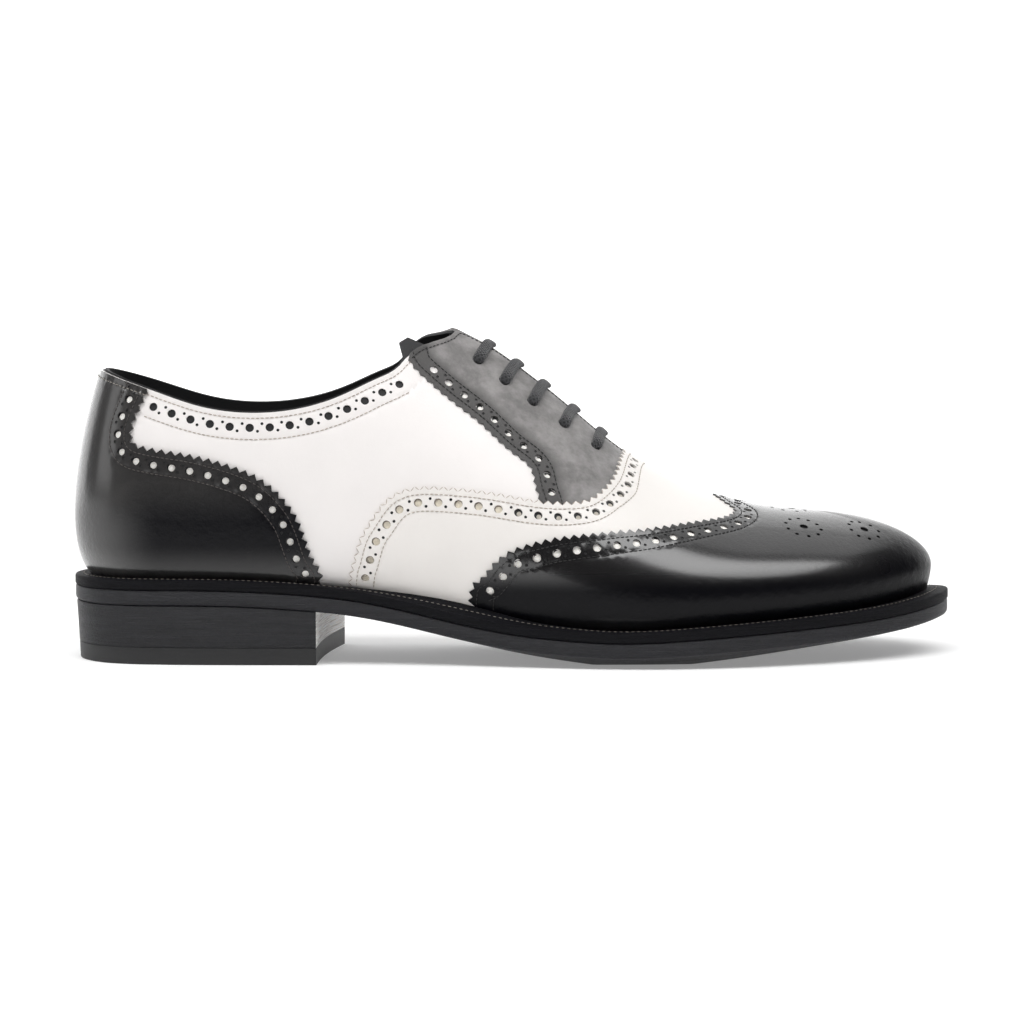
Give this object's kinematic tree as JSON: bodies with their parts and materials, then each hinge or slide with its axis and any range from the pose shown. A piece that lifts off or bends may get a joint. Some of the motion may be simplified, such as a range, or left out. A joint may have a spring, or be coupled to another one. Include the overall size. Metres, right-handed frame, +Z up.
{
  "type": "spectator wingtip oxford shoe",
  "caption": "Closed-lacing full-brogue wingtip Oxford in black and white leather, with a welted leather sole and a stacked heel, standing empty.",
  "frame": {"origin": "middle of the bounding box's floor face, on the floor that heel and forefoot stand on", "axes": "+X from heel to toe, +Y to the inner (medial) side of the right foot, +Z up"},
  "size_m": [0.308, 0.104, 0.1134],
  "materials": {
    "white_calf": "smooth semi-matte",
    "white_vamp_calf": "smooth semi-matte",
    "gloss_black_calf": "glossy polished",
    "matte_black_calf": "matte, nubby",
    "black_lining": "matte",
    "black_lace": "waxed weave",
    "insole_leather": "matte",
    "black_welt": "waxed edge",
    "black_sole_leather": "waxed edge",
    "black_heel_rubber": "matte"
  },
  "bodies": {
    "root": {"upper": "white_calf", "vamp": "white_vamp_calf", "toe_cap": "gloss_black_calf", "heel_counter": "gloss_black_calf", "facing_lateral": "matte_black_calf", "facing_medial": "matte_black_calf", "tongue": "black_lining", "lace": "black_lace", "insole": "insole_leather", "welt": "black_welt", "outsole": "black_sole_leather", "heel_stack": "black_sole_leather", "heel_top_piece": "black_heel_rubber"}
  },
  "joints": []
}
